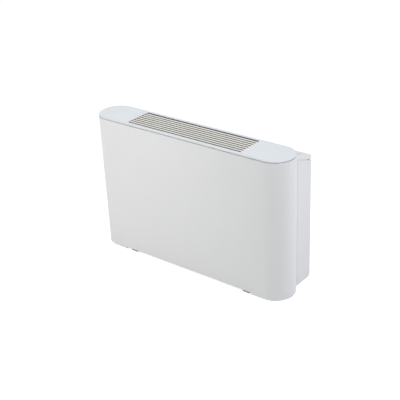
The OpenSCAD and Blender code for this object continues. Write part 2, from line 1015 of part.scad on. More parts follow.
module stator_core() {
  color(steel)
    sleeve_x(-stator_half, stator_half, fan_y, fan_z, motor_r - shell_wall, rotor_r + air_gap);
}

module motor_bearings() {
  color(alloy)
    for (s = [-1, 1])
      sleeve_x(s * boss_x0, s * (boss_x0 + bearing_w), fan_y, fan_z, bearing_r, shaft_r + shaft_gap);
}

module motor_shaft() {
  reach = wheel_mid + hub_l / 2 + shaft_end;
  color(steel)
    rod_x(-reach, reach, fan_y, fan_z, shaft_r);
}

module rotor_core() {
  color(steel)
    sleeve_x(-stator_half, stator_half, fan_y, fan_z, rotor_r, shaft_r + hole_gap);
}

// One forward-curved blade, set at the inlet edge and bent forward at the tip
module blade_outline() {
  intersection() {
    translate([wheel_in + blade_set, blade_curve])
      difference() {
        circle(r = blade_curve + blade_t / 2);
        circle(r = blade_curve - blade_t / 2);
      }
    difference() {
      circle(r = wheel_r);
      circle(r = wheel_in);
    }
    translate([wheel_in - blade_room, -2 * blade_t])
      square([blade_depth + 2 * blade_room, blade_curve]);
  }
}

// Ring of blades that stands between the wheel's end rings, notched for the centre disc
module wheel_blades(s) {
  difference() {
    along_x(s * (wheel_x0 + ring_t), s * (wheel_x1 - ring_t))
      translate([fan_y, fan_z])
        for (i = [0 : blade_count - 1])
          rotate(i * 360 / blade_count)
            blade_outline();
    rod_x(s * (wheel_mid - disc_t / 2), s * (wheel_mid + disc_t / 2), fan_y, fan_z, disc_r + hole_gap);
  }
}

module wheel_rings(s) {
  for (x = [wheel_x0, wheel_x1 - ring_t])
    sleeve_x(s * x, s * (x + ring_t), fan_y, fan_z, wheel_r + ring_out, wheel_in + ring_in);
}

// Centre disc that carries the blades, with its hub on the shaft
module wheel_disc(s) {
  difference() {
    union() {
      rod_x(s * (wheel_mid - disc_t / 2), s * (wheel_mid + disc_t / 2), fan_y, fan_z, disc_r);
      rod_x(s * (wheel_mid - hub_l / 2), s * (wheel_mid + hub_l / 2), fan_y, fan_z, hub_r);
    }
    rod_x(s * (wheel_mid - hub_l), s * (wheel_mid + hub_l), fan_y, fan_z, shaft_r + hole_gap);
  }
}

module impeller_blades_left() {
  color(alloy)
    wheel_blades(-1);
}

module impeller_blades_right() {
  color(alloy)
    wheel_blades(1);
}

module impeller_rings_left() {
  color(alloy)
    wheel_rings(-1);
}

module impeller_rings_right() {
  color(alloy)
    wheel_rings(1);
}

module impeller_disc_left() {
  color(alloy)
    wheel_disc(-1);
}

module impeller_disc_right() {
  color(alloy)
    wheel_disc(1);
}

module at_tubes() {
  for (i = [0 : row_tubes - 1], v = [row_a, row_b])
    translate([v, tube_u(i)])
      children();
}

module coil_fins() {
  span = fin_count * fin_pitch;
  color(alloy)
    in_coil()
      for (i = [0 : fin_count])
        along_x(-span / 2 + i * fin_pitch - fin_t / 2, -span / 2 + i * fin_pitch + fin_t / 2)
          difference() {
            square([coil_v, coil_u]);
            at_tubes()
              circle(r = tube_r + hole_gap);
          }
}

module tube_ring() {
  difference() {
    circle(r = tube_r);
    circle(r = tube_r - tube_wall);
  }
}

module tube(x0, x1, v, u) {
  along_x(x0, x1)
    translate([v, u])
      tube_ring();
}

// Each circuit goes out and back in the first row, crosses over, and does so in the second
module coil_tubes() {
  color(copper)
    in_coil()
      for (k = [0 : circuits - 1]) {
        u0 = tube_u(2 * k);
        u1 = tube_u(2 * k + 1);
        union() {
          tube(supply_x + header_r - tube_dip, tube_end, row_a, u0);
          tube(return_x + header_r - tube_dip, tube_end, row_b, u0);
          for (v = [row_a, row_b]) {
            tube(-tube_end, tube_end, v, u1);
            translate([tube_end, v, (u0 + u1) / 2])
              rotate([0, -90, -90])
                rotate_extrude(angle = 180)
                  translate([tube_pitch / 2, 0])
                    tube_ring();
          }
          translate([-tube_end, row_pitch, u1])
            rotate([0, 0, 90])
              rotate_extrude(angle = 180)
                translate([row_pitch / 2, 0])
                  tube_ring();
        }
      }
}

// End plates with flanges that reach out to the chassis sides
module coil_end_plates() {
  color(zinc)
    in_coil()
      for (s = [-1, 1])
        difference() {
          union() {
            box(s * coil_x, s * (coil_x + plate_t), -plate_edge, coil_v + plate_edge, -plate_drop, coil_u);
            for (u = [-plate_drop, coil_u - plate_t])
              box(s * coil_x, s * chassis_in, -plate_edge, plate_arm - plate_edge, u, u + plate_t);
          }
          along_x(s * (coil_x - 1), s * (coil_x + plate_t + 1))
            at_tubes()
              circle(r = tube_r + hole_gap);
        }
}

// Upright frame where a header's down pipe branches off
module at_branch(x, v) {
  in_coil()
    translate([x, v, branch_u])
      rotate([coil_tilt, 0, 0])
        children();
}

// Header along the coil, closed at both ends, with its pipe branching straight down
module header(x, v) {
  foot = branch_u - header_foot;
  top = coil_u - header_top;
  difference() {
    union() {
      in_coil()
        translate([x, v, foot])
          cylinder(r = header_r, h = top - foot);
      at_branch(x, v)
        translate([0, 0, -pipe_drop])
          cylinder(r = pipe_r, h = pipe_drop);
    }
    in_coil()
      translate([x, v, foot + header_wall])
        cylinder(r = header_r - header_wall, h = top - foot - 2 * header_wall);
    at_branch(x, v)
      translate([0, 0, -pipe_drop - 1])
        cylinder(r = pipe_r - header_wall, h = pipe_drop + 1);
    in_coil()
      for (k = [0 : circuits - 1])
        rod_x(x, x + header_r + 2, v, tube_u(2 * k), tube_r + hole_gap);
  }
}

module supply_header() {
  color(copper)
    difference() {
      header(supply_x, row_a);
      in_coil()
        rod_x(supply_x - header_r - 2, supply_x, row_a, vent_u, vent_stem_r + hole_gap);
    }
}

module return_header() {
  color(copper)
    header(return_x, row_b);
}

// Hexagon union: socket for the down pipe above, female thread below
module water_union(x, v) {
  at_branch(x, v)
    translate([0, 0, socket_l - pipe_drop - union_l])
      difference() {
        cylinder(r = union_af / sqrt(3), h = union_l, $fn = 6);
        translate([0, 0, -1])
          cylinder(r = thread_r, h = thread_l + 1);
        cylinder(r = pipe_r - header_wall, h = union_l);
        translate([0, 0, union_l - socket_l])
          cylinder(r = pipe_r + hole_gap, h = socket_l + 1);
      }
}

module supply_union() {
  color(brass)
    water_union(supply_x, row_a);
}

module return_union() {
  color(brass)
    water_union(return_x, row_b);
}

module air_vent_body() {
  color(brass)
    in_coil()
      difference() {
        union() {
          rod_x(vent_x0, supply_x - header_r + tube_dip, row_a, vent_u, vent_stem_r);
          rod_x(vent_x0, vent_x1, row_a, vent_u, vent_body_r);
        }
        rod_x(vent_x1 - 1, vent_x1 + vent_bore_l, row_a, vent_u, vent_screw_r + shaft_gap);
      }
}

module air_vent_screw() {
  color(steel)
    in_coil()
      difference() {
        union() {
          rod_x(vent_x1 - vent_head_gap, vent_x1 + vent_bore_l - 1, row_a, vent_u, vent_screw_r);
          rod_x(vent_x1 - vent_head_gap, vent_x1 - vent_head_gap - vent_head_l, row_a, vent_u, vent_head_r);
        }
        box(vent_x1 - vent_head_l + 1, vent_x1 - vent_head_l - 1, row_a - vent_slot / 2,
          row_a + vent_slot / 2, vent_u - vent_head_r - 1, vent_u + vent_head_r + 1);
      }
}

module drip_tray() {
  color(dark)
    difference() {
      union() {
        difference() {
          along_x(-tray_x, tray_x)
            polygon([[tray_front, deck_h], [tray_back, deck_h], [tray_back, deck_h + tray_back_h],
              [tray_front, deck_h + tray_h]]);
          box(-tray_x + tray_wall, tray_x - tray_wall, tray_front + tray_wall, tray_back - tray_wall,
            deck_h + tray_wall, deck_h + tray_h + 1);
        }
        rod_x(spigot_x, -tray_x + 1, spigot_y, spigot_z, spigot_r);
        rod_x(-chassis_x - 1, -chassis_x - 4, spigot_y, spigot_z, spigot_r + spigot_collar);
      }
      rod_x(spigot_x - 1, -tray_x + tray_wall + 1, spigot_y, spigot_z, spigot_r - spigot_wall);
    }
}

module terminal_box() {
  w = elec_wall;
  color(grey)
    difference() {
      union() {
        difference() {
          box(elec_x0, elec_x1, elec_y0, elec_y1, elec_z0, elec_z1);
          box(elec_x0 + w, elec_x1 + 1, elec_y0 + w, elec_y1 - w, elec_z0 + w, elec_z1 - w);
        }
        for (y = lid_screw_y, z = lid_screw_z)
          rod_x(elec_x0 + 1, elec_x1, y, z, post_r);
      }
      at_lid_screws()
        screw_hole(lid_screw_l + 2);
      translate([gland_x, gland_y, elec_z0 - 1])
        cylinder(r = gland_r + hole_gap, h = w + 2);
    }
}

module terminal_box_lid() {
  color(grey)
    difference() {
      box(elec_x1, elec_x1 + lid_t, elec_y0, elec_y1, elec_z0, elec_z1);
      at_lid_screws()
        screw_hole(lid_screw_l + 2);
    }
}

// Block of clamps with a rib between each pair
module terminal_block() {
  y0 = (elec_y0 + elec_y1 - pole_count * pole_w) / 2;
  x0 = elec_x0 + elec_wall;
  z0 = elec_z0 + block_up;
  color(black)
    difference() {
      union() {
        box(x0, x0 + block_d, y0, y0 + pole_count * pole_w, z0, z0 + block_h);
        for (i = [0 : pole_count])
          box(x0, x0 + block_d + wall_out, y0 + i * pole_w - wall_t / 2, y0 + i * pole_w + wall_t / 2,
            z0, z0 + block_h);
      }
      for (i = [0 : pole_count - 1], z = [wire_in, block_h - wire_in])
        rod_x(x0 + block_d / 2, x0 + 2 * block_d, y0 + (i + 0.5) * pole_w, z0 + z, wire_r);
    }
}

module run_capacitor() {
  y0 = (elec_y0 + elec_y1 - can_l) / 2;
  x0 = elec_x0 + elec_wall + can_r;
  z0 = elec_z1 - can_drop;
  color(alloy)
    union() {
      translate([x0, y0, z0])
        rotate([-90, 0, 0])
          cylinder(r = can_r, h = can_l);
      for (s = [-1, 1])
        translate([x0 + s * tag_x, y0 + can_l, z0])
          rotate([-90, 0, 0])
            cylinder(r = tag_r, h = tag_l);
    }
}

module cable_gland() {
  color(black)
    translate([gland_x, gland_y, elec_z0])
      difference() {
        union() {
          translate([0, 0, -gland_nut_h])
            cylinder(r = gland_nut_r, h = gland_nut_h, $fn = 6);
          translate([0, 0, -gland_l])
            cylinder(r = gland_r + gland_dome, h = gland_l - 1);
          translate([0, 0, -1])
            cylinder(r = gland_r, h = elec_wall + gland_thread + 1);
        }
        translate([0, 0, -gland_l - 1])
          cylinder(r = gland_bore, h = gland_l + elec_wall + gland_thread + 2);
      }
}

module filter_frame() {
  rim = filter_rim;
  rib = filter_rib;
  hold = rim - groove_in;
  step = 2 * filter_x / grid_cells;
  mid = (filter_front + filter_back) / 2;
  color(dark)
    difference() {
      union() {
        difference() {
          box(-filter_x, filter_x, filter_front, filter_back, filter_z, filter_z + filter_t);
          box(-filter_x + rim, filter_x - rim, filter_front + rim, filter_back - rim,
            filter_z - 1, filter_z + filter_t + 1);
        }
        for (i = [1 : grid_cells - 1])
          box(-filter_x + i * step - rib / 2, -filter_x + i * step + rib / 2, filter_front + 1,
            filter_back - 1, filter_z, filter_z + filter_t);
        box(-filter_x + 1, filter_x - 1, mid - rib / 2, mid + rib / 2, filter_z, filter_z + filter_t);
      }
      box(-filter_x + hold, filter_x - hold, filter_front + hold, filter_back - hold,
        mesh_z, mesh_z + mesh_t);
    }
}

// Pleat-free netting held in the groove of the frame
module filter_mesh() {
  hold = filter_rim - groove_in;
  color(netting)
    box(-filter_x + hold, filter_x - hold, filter_front + hold, filter_back - hold, mesh_z, mesh_z + mesh_t);
}

// Pull tab on the frame's front edge, with a finger lip that reaches down in front of the rails
module filter_tab(s) {
  x0 = s * tab_mid + tab_shift - tab_w / 2;
  x1 = x0 + tab_w;
  top = filter_z + filter_t;
  along_x(x0, x1)
    union() {
      translate([tab_front + tab_round, filter_z])
        square([tab_l - tab_round, filter_t]);
      translate([tab_front, tab_foot + tab_round])
        square([tab_lip, top - tab_foot - 2 * tab_round]);
      translate([tab_front + tab_round, tab_foot])
        square([tab_lip - 2 * tab_round, top - tab_foot]);
      for (y = [tab_round, tab_lip - tab_round], z = [tab_foot + tab_round, top - tab_round])
        translate([tab_front + y, z])
          circle(r = tab_round);
    }
}

module filter_tab_left() {
  color(dark)
    filter_tab(-1);
}

module filter_tab_right() {
  color(dark)
    filter_tab(1);
}

module insulation_front() {
  reach = chassis_in - foam_side;
  color(foam)
    box(-reach, reach, inner_front, inner_front + foam_t, deck_h + tray_h + foam_low, casing_top - foam_top);
}

module cap_screws() {
  color(steel)
    at_cap_screws()
      translate([0, 0, -sheet])
        rotate([180, 0, 0])
          screw(boss_h + sheet - 1);
}

module deck_screws() {
  color(steel)
    at_deck_screws()
      screw(deck_screw_l);
}

module lid_screws() {
  color(steel)
    at_lid_screws()
      screw(lid_screw_l);
}

module casing_nuts() {
  color(steel)
    at_casing_studs()
      translate([0, 0, sheet])
        difference() {
          cylinder(r = nut_r, h = nut_h, $fn = 6);
          translate([0, 0, -1])
            cylinder(r = stud_r + hole_gap, h = nut_h + 2);
        }
}

front_casing();
top_cap();
grille_bars();
grille_combs();
rear_panel();
rear_side_left();
rear_side_right();
rear_top_cover();
chassis_side_left();
chassis_side_right();
fan_deck();
outlet_collar();
coil_baffle();
filter_rail_left();
filter_rail_right();
scroll_left();
scroll_right();
motor_cradle();
motor_rubber_rings();
motor_shell();
motor_end_shields();
stator_core();
motor_bearings();
motor_shaft();
rotor_core();
impeller_blades_left();
impeller_blades_right();
impeller_rings_left();
impeller_rings_right();
impeller_disc_left();
impeller_disc_right();
coil_fins();
coil_tubes();
coil_end_plates();
supply_header();
return_header();
supply_union();
return_union();
air_vent_body();
air_vent_screw();
drip_tray();
terminal_box();
terminal_box_lid();
terminal_block();
run_capacitor();
cable_gland();
filter_frame();
filter_mesh();
filter_tab_left();
filter_tab_right();
insulation_front();
cap_screws();
deck_screws();
lid_screws();
casing_nuts();
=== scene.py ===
import json
import math

import bpy
import numpy as np
from mathutils import Matrix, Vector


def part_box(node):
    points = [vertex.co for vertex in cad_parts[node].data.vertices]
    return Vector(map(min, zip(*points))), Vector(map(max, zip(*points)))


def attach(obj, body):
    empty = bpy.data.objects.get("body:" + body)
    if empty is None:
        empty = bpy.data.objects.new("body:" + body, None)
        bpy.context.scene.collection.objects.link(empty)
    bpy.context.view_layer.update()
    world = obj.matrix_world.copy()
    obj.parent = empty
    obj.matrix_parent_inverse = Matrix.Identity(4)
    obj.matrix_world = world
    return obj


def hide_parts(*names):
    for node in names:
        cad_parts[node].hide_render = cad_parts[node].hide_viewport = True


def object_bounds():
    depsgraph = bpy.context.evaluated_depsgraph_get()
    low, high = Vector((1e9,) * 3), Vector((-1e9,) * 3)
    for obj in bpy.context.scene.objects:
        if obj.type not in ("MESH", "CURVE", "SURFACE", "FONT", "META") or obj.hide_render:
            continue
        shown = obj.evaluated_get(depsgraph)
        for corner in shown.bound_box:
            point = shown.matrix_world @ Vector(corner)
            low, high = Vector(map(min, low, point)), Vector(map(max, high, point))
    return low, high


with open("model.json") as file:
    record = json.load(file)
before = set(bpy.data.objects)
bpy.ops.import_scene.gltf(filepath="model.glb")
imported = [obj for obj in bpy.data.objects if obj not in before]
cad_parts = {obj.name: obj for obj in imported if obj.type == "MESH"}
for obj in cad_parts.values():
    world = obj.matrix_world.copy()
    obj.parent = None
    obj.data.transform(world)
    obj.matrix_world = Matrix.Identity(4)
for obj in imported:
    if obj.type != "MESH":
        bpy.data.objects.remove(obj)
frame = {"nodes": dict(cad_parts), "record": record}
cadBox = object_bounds()
nodes = frame["nodes"]

scene = bpy.context.scene
scene.view_settings.view_transform = "Standard"

# Camera at the photograph's angle: it turns about a point on the cabinet's mid height
viewFit = {
    "azimuth": 38.9664,      # degrees round from the front towards the right end
    "elevation": 26.8129,
    "roll": -2.6554,
    "distance": 3.30954,     # metres to the point it turns about
    "shiftRight": 0.017766,  # how far the camera stands off that point, along its own axes
    "shiftUp": -0.003889,
    "target": (0.0, -0.0375, 0.265),
    "focalPixels": 915.0522,
    "imagePixels": 400,
    "sensor": 36.0,
    "sight": 60.0,           # metres it sees
}


def placeCamera(fit):
    # right, up and back axes from azimuth and elevation, then turned about the back axis by the roll
    a, e, r = (math.radians(fit[key]) for key in ("azimuth", "elevation", "roll"))
    back = np.array([math.sin(a) * math.cos(e), -math.cos(a) * math.cos(e), math.sin(e)])
    right = np.array([math.cos(a), math.sin(a), 0.0])
    up = np.cross(back, right)
    turnedRight = math.cos(r) * right + math.sin(r) * up
    turnedUp = math.cos(r) * up - math.sin(r) * right
    stand = (np.array(fit["target"]) + fit["shiftRight"] * turnedRight
             + fit["shiftUp"] * turnedUp + fit["distance"] * back)
    data = bpy.data.cameras.new("photoCamera")
    data.sensor_width = fit["sensor"]
    data.lens = fit["sensor"] * fit["focalPixels"] / fit["imagePixels"]
    data.clip_end = fit["sight"]
    camera = bpy.data.objects.new("photoCamera", data)
    scene.collection.objects.link(camera)
    axes = np.column_stack([turnedRight, turnedUp, back, stand])
    camera.matrix_world = Matrix(np.vstack([axes, [0.0, 0.0, 0.0, 1.0]]).tolist())
    scene.camera = camera


placeCamera(viewFit)
print("camera placed")


# Shader maths as plain expressions
class Val:
    def __init__(self, finish, socket):
        self.finish = finish
        self.socket = socket

    def calc(self, operation, first, second):
        return self.finish.node("ShaderNodeMath", {"operation": operation}, {0: first, 1: second})

    def __add__(self, other):
        return self.calc("ADD", self, other)

    def __radd__(self, other):
        return self.calc("ADD", other, self)

    def __sub__(self, other):
        return self.calc("SUBTRACT", self, other)

    def __rsub__(self, other):
        return self.calc("SUBTRACT", other, self)

    def __mul__(self, other):
        return self.calc("MULTIPLY", self, other)

    def __rmul__(self, other):
        return self.calc("MULTIPLY", other, self)

    def most(self, other):
        return self.calc("MAXIMUM", self, other)

    def size(self):
        return self.calc("ABSOLUTE", self, 0.0)


class Finish:
    def __init__(self, name, tree=None):
        if tree is None:
            self.material = bpy.data.materials.new(name)
            self.material.use_nodes = True
            tree = self.material.node_tree
        self.tree = tree
        self.tree.nodes.clear()

    def feed(self, socket, value):
        if isinstance(value, Val):
            self.tree.links.new(value.socket, socket)
        else:
            socket.default_value = value

    def node(self, kind, settings, sockets, result=0):
        made = self.tree.nodes.new(kind)
        for name, value in settings.items():
            setattr(made, name, value)
        for name, value in sockets.items():
            self.feed(made.inputs[name], value)
        return Val(self, made.outputs[result]) if made.outputs else made

    def place(self, stretch=(1.0, 1.0, 1.0)):
        # object coordinates in metres, stretched per axis
        spot = self.node("ShaderNodeTexCoord", {}, {}, "Object")
        return self.node("ShaderNodeVectorMath", {"operation": "MULTIPLY"}, {0: spot, 1: stretch})

    def noise(self, scale, detail=2.0, stretch=(1.0, 1.0, 1.0)):
        return self.node("ShaderNodeTexNoise", {},
                         {"Vector": self.place(stretch), "Scale": scale, "Detail": detail}, "Fac")

    def cells(self, scale, result):
        return self.node("ShaderNodeTexVoronoi", {}, {"Vector": self.place(), "Scale": scale}, result)

    def axis(self, letter):
        return self.node("ShaderNodeSeparateXYZ", {}, {"Vector": self.place()}, letter)

    def grade(self, value, low, high):
        # smooth step from 0 where value is low to 1 where it is high
        return self.node("ShaderNodeMapRange", {"interpolation_type": "SMOOTHSTEP"},
                         {"Value": value, "From Min": low, "From Max": high, "To Min": 0.0, "To Max": 1.0})

    def blend(self, mask, first, second):
        return self.node("ShaderNodeMix", {"data_type": "RGBA"}, {0: mask, 6: first, 7: second}, 2)

    def seen(self):
        # 1 on rays that come straight from the camera, off a gloss or through a clear piece
        kinds = ("Is Camera Ray", "Is Glossy Ray", "Is Transmission Ray")
        camera, glossy, through = (self.node("ShaderNodeLightPath", {}, {}, kind) for kind in kinds)
        return camera.most(glossy).most(through)

    def bump(self, height, strength, distance):
        return self.node("ShaderNodeBump", {},
                         {"Height": height, "Strength": strength, "Distance": distance}, "Normal")

    def close(self, sockets):
        shader = self.node("ShaderNodeBsdfPrincipled", {}, sockets)
        self.node("ShaderNodeOutputMaterial", {}, {"Surface": shader})
        return self.material


def tone(colour, factor=1.0):
    # a colour given as 0 to 255 on screen, as linear light
    share = np.array(colour) / 255.0
    linear = np.where(share <= 0.04045, share / 12.92, ((share + 0.055) / 1.055) ** 2.4) * factor
    return (*linear.tolist(), 1.0)


# Sprayed and stoved paint: a slow drift of tone, fine orange peel, dull specks, a little dirt at the foot,
# and painted shade along given lines and on the ends of cut-outs
paintGrain = {"dirtScale": 35.0, "shadeNoiseScale": 60.0, "speckShare": 0.12, "peelDepth": 0.0004}


def paintedShadeLine(f, shade, look, band):
    # painted shade lies to the right of a line drawn in the Y and Z plane from start to end, and fades away
    # from it
    (startY, startZ), (endY, endZ) = band["line"]
    length = math.hypot(endY - startY, endZ - startZ)
    rightY, rightZ = (endZ - startZ) / length, (startY - endY) / length
    away = (f.axis("Y") - startY) * rightY + (f.axis("Z") - startZ) * rightZ
    shadeAmount = f.grade(away, band["reach"], 0.0) * (0.8 + 0.4 * f.noise(paintGrain["shadeNoiseScale"], 3.0))
    return f.blend(shadeAmount * band["shadeAmount"], shade, tone(look["shadeColour"]))


def paintedEndShade(f, shade, cut):
    # painted shade: the two end faces of a cut-out are darkened to stand for their shadow
    fromMid = (f.axis("Y") - cut["mid"]).size()
    endShadeMask = f.grade(f.axis("X").size(), cut["halfWide"] + cut["edge"], cut["halfWide"])
    endShadeMask = endShadeMask * f.grade(fromMid, cut["halfDeep"], cut["halfDeep"] - cut["edge"])
    return f.blend(endShadeMask, shade, tone(cut["colour"]))


def sprayedPaint(name, look):
    f = Finish(name)
    drift = f.grade(f.noise(look["driftScale"], 3.0), 0.3, 0.7)
    shade = f.blend(drift, tone(look["colour"]), tone(look["colour"], look["drift"]))
    low = f.grade(f.axis("Z"), look["dirtTop"], 0.0)
    dirt = low * f.grade(f.noise(paintGrain["dirtScale"], 4.0), 0.35, 0.75)
    shade = f.blend(dirt * look["dirt"], shade, tone(look["dirtColour"]))
    # painted shade along the given lines, then painted shade on the end faces of cut-outs
    for band in look.get("joints", []):
        shade = paintedShadeLine(f, shade, look, band)
    for cut in look.get("shadedEnds", []):
        shade = paintedEndShade(f, shade, cut)
    peel = f.noise(look["peelScale"], 1.0)
    speck = f.noise(look["peelScale"] * paintGrain["speckShare"], 3.0)
    return f.close({
        "Base Color": shade,
        "Roughness": look["roughness"] + 0.10 * speck + 0.15 * dirt,
        "Specular IOR Level": look["specular"],
        "Normal": f.bump(peel + 0.6 * speck, look["peel"], paintGrain["peelDepth"]),
    })


# Where the painted shade lines and the cut-out's ends lie, in metres
barsLow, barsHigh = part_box("grille_bars")
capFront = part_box("top_cap")[0][1]
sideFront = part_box("rear_side_right")[0][1]
bottom, top = cadBox[0][2], cadBox[1][2]
coverSeam = ((sideFront, 0.4948), (0.110, 0.4604))  # upper edge of the rear sides, from front to back
cutPlay = 0.00052  # from the bars' ends to the ends of their cut-out

casingLook = {
    "colour": (235, 236, 235), "drift": 0.980, "driftScale": 2.6, "peel": 0.10, "peelScale": 620.0,
    "roughness": 0.40, "specular": 0.2, "dirt": 0.05, "dirtTop": 0.06, "dirtColour": (186, 182, 174),
}
casingPaint = sprayedPaint("casingPaint", casingLook)
sidePaintShaded = sprayedPaint("sidePaintShaded", {
    **casingLook, "shadeColour": (150, 150, 149),
    "joints": [
        # painted shade along the front casing's edge, then under the sloping cover
        {"line": ((sideFront, bottom), (sideFront, top)), "reach": 0.018, "shadeAmount": 0.16},
        {"line": coverSeam, "reach": 0.006, "shadeAmount": 0.16},
    ],
})
capPaint = sprayedPaint("capPaint", {
    "colour": (231, 236, 239), "drift": 0.982, "driftScale": 4.0, "peel": 0.16, "peelScale": 900.0,
    "roughness": 0.42, "specular": 0.35, "dirt": 0.0, "dirtTop": 0.02, "dirtColour": (190, 188, 182),
    "shadeColour": (188, 185, 174),
    # painted shade along the cap's rounded front edge, and painted shade on the end faces of the outlet's
    # cut-out
    "joints": [{"line": ((capFront, bottom), (capFront, top)), "reach": 0.018, "shadeAmount": 0.24}],
    "shadedEnds": [{"mid": (barsLow[1] + barsHigh[1]) / 2, "halfWide": barsHigh[0] + cutPlay,
                  "halfDeep": 0.0555, "edge": 0.0003, "colour": (58, 58, 60)}],
})
grillePaint = sprayedPaint("grillePaint", {
    "colour": (237, 235, 227), "drift": 0.97, "driftScale": 9.0, "peel": 0.14, "peelScale": 900.0,
    "roughness": 0.44, "specular": 0.35, "dirt": 0.0, "dirtTop": 0.02, "dirtColour": (150, 146, 138),
    "shadeColour": (92, 89, 82),
    # painted shade up the flanks of the bars, darkest at their feet
    "joints": [{"line": ((barsHigh[1], barsLow[2]), (barsLow[1], barsLow[2])), "reach": 0.0020, "shadeAmount": 0.8}],
})
motorPaint = sprayedPaint("motorPaint", {
    "colour": (62, 66, 72), "drift": 0.82, "driftScale": 18.0, "peel": 0.25, "peelScale": 500.0,
    "roughness": 0.40, "specular": 0.5, "dirt": 0.5, "dirtTop": 0.12, "dirtColour": (92, 88, 80),
})
print("paints made")


# Zinc coating: crystals of random shade, clouded by white bloom
zincGrain = {"bloomScale": 14.0, "fineScale": 260.0, "depth": 0.0003}


def spangledZinc(name, look):
    f = Finish(name)
    crystal = f.node("ShaderNodeSeparateColor", {}, {"Color": f.cells(look["crystals"], "Color")}, 0)
    bloom = f.grade(f.noise(zincGrain["bloomScale"], 4.0), 0.45, 0.75)
    shade = f.blend(crystal, tone(look["dark"]), tone(look["light"]))
    shade = f.blend(bloom * look["bloom"], shade, tone(look["bloomColour"]))
    return f.close({
        "Base Color": shade,
        "Metallic": 1.0 - 0.35 * bloom,
        "Roughness": look["roughness"] + 0.16 * crystal + 0.2 * bloom,
        "Normal": f.bump(f.noise(zincGrain["fineScale"], 2.0) + 0.4 * crystal, 0.12, zincGrain["depth"]),
    })


zincLook = {
    "crystals": 95.0, "dark": (168, 173, 178), "light": (206, 210, 214), "roughness": 0.34,
    "bloom": 0.45, "bloomColour": (214, 216, 217),
}
galvanised = spangledZinc("galvanised", zincLook)
# a darker copy of the galvanised zinc for the outlet duct: painted shade inside the outlet
shadedDuctZinc = spangledZinc("shadedDuctZinc", {
    **zincLook, "dark": (92, 95, 98), "light": (126, 129, 132), "roughness": 0.5,
    "bloomColour": (132, 133, 133),
})


# Drawn or turned metal: fine lines along one axis, a broad tarnish and small pits
metalGrain = {"pitScale": 420.0, "depth": 0.0003}


def drawnMetal(name, look):
    f = Finish(name)
    lines = f.noise(look["lineScale"], 2.0, look["lineStretch"])
    tarnish = f.grade(f.noise(look["tarnishScale"], 5.0), 0.42, 0.72)
    pits = f.grade(f.noise(metalGrain["pitScale"], 2.0), 0.62, 0.8)
    shade = f.blend(0.35 * lines, tone(look["colour"]), tone(look["colour"], 0.78))
    shade = f.blend(tarnish * look["tarnish"], shade, tone(look["tarnishColour"]))
    return f.close({
        "Base Color": shade,
        "Metallic": look["metallic"] - 0.25 * tarnish * look["tarnish"],
        "Roughness": look["roughness"] + 0.14 * lines + 0.22 * tarnish * look["tarnish"],
        "Normal": f.bump(lines - 0.7 * pits, look["relief"], metalGrain["depth"]),
    })


alongX = (0.03, 1.0, 1.0)
evenly = (1.0, 1.0, 1.0)
steelLook = {
    "colour": (176, 178, 182), "lineScale": 900.0, "lineStretch": alongX, "relief": 0.10, "metallic": 1.0,
    "roughness": 0.26, "tarnish": 0.35, "tarnishScale": 30.0, "tarnishColour": (120, 112, 104),
}
steel = drawnMetal("steel", steelLook)
finAlloy = drawnMetal("finAlloy", {
    **steelLook, "colour": (206, 209, 213), "roughness": 0.30, "tarnish": 0.25,
    "tarnishColour": (168, 170, 170),
})
wheelAlloy = drawnMetal("wheelAlloy", {
    **steelLook, "colour": (198, 200, 203), "roughness": 0.34, "tarnish": 0.40,
    "tarnishColour": (150, 148, 142),
})
castAlloy = drawnMetal("castAlloy", {
    **steelLook, "colour": (186, 188, 190), "lineScale": 260.0, "lineStretch": evenly, "relief": 0.35,
    "roughness": 0.46, "tarnish": 0.30, "tarnishColour": (140, 140, 138),
})
copper = drawnMetal("copper", {
    **steelLook, "colour": (214, 138, 100), "roughness": 0.24, "tarnish": 0.75, "tarnishScale": 22.0,
    "tarnishColour": (128, 76, 58),
})
brass = drawnMetal("brass", {
    **steelLook, "colour": (214, 182, 108), "lineStretch": evenly, "roughness": 0.24, "tarnish": 0.5,
    "tarnishScale": 45.0, "tarnishColour": (150, 122, 70),
})
print("metals made")


# Moulded plastic: a spark-eroded grain, faint flow marks and handling shine
mouldGrain = {"flowScale": 11.0, "flowStretch": (0.4, 1.0, 1.0), "shineScale": 26.0, "depth": 0.0004}


def mouldedPlastic(name, look):
    f = Finish(name)
    grain = f.noise(look["grainScale"], 2.0)
    flow = f.grade(f.noise(mouldGrain["flowScale"], 3.0, mouldGrain["flowStretch"]), 0.3, 0.7)
    shine = f.grade(f.noise(mouldGrain["shineScale"], 3.0), 0.5, 0.8)
    return f.close({
        "Base Color": f.blend(flow, tone(look["colour"]), tone(look["colour"], look["flow"])),
        "Roughness": look["roughness"] + 0.10 * grain - 0.12 * shine,
        "Specular IOR Level": 0.45,
        "Normal": f.bump(grain, look["grain"], mouldGrain["depth"]),
    })


trayPlastic = mouldedPlastic("trayPlastic", {
    "colour": (88, 91, 96), "flow": 0.86, "grain": 0.25, "grainScale": 700.0, "roughness": 0.48})
boxPlastic = mouldedPlastic("boxPlastic", {
    "colour": (188, 190, 191), "flow": 0.94, "grain": 0.22, "grainScale": 800.0, "roughness": 0.45})
blackPlastic = mouldedPlastic("blackPlastic", {
    "colour": (38, 39, 41), "flow": 0.85, "grain": 0.25, "grainScale": 800.0, "roughness": 0.42})
filterPlastic = mouldedPlastic("filterPlastic", {
    "colour": (152, 152, 152), "flow": 0.92, "grain": 0.30, "grainScale": 650.0, "roughness": 0.52})
rubber = mouldedPlastic("rubber", {
    "colour": (30, 30, 31), "flow": 0.8, "grain": 0.45, "grainScale": 420.0, "roughness": 0.72})
netting = mouldedPlastic("netting", {
    "colour": (70, 76, 82), "flow": 0.82, "grain": 0.3, "grainScale": 900.0, "roughness": 0.6})


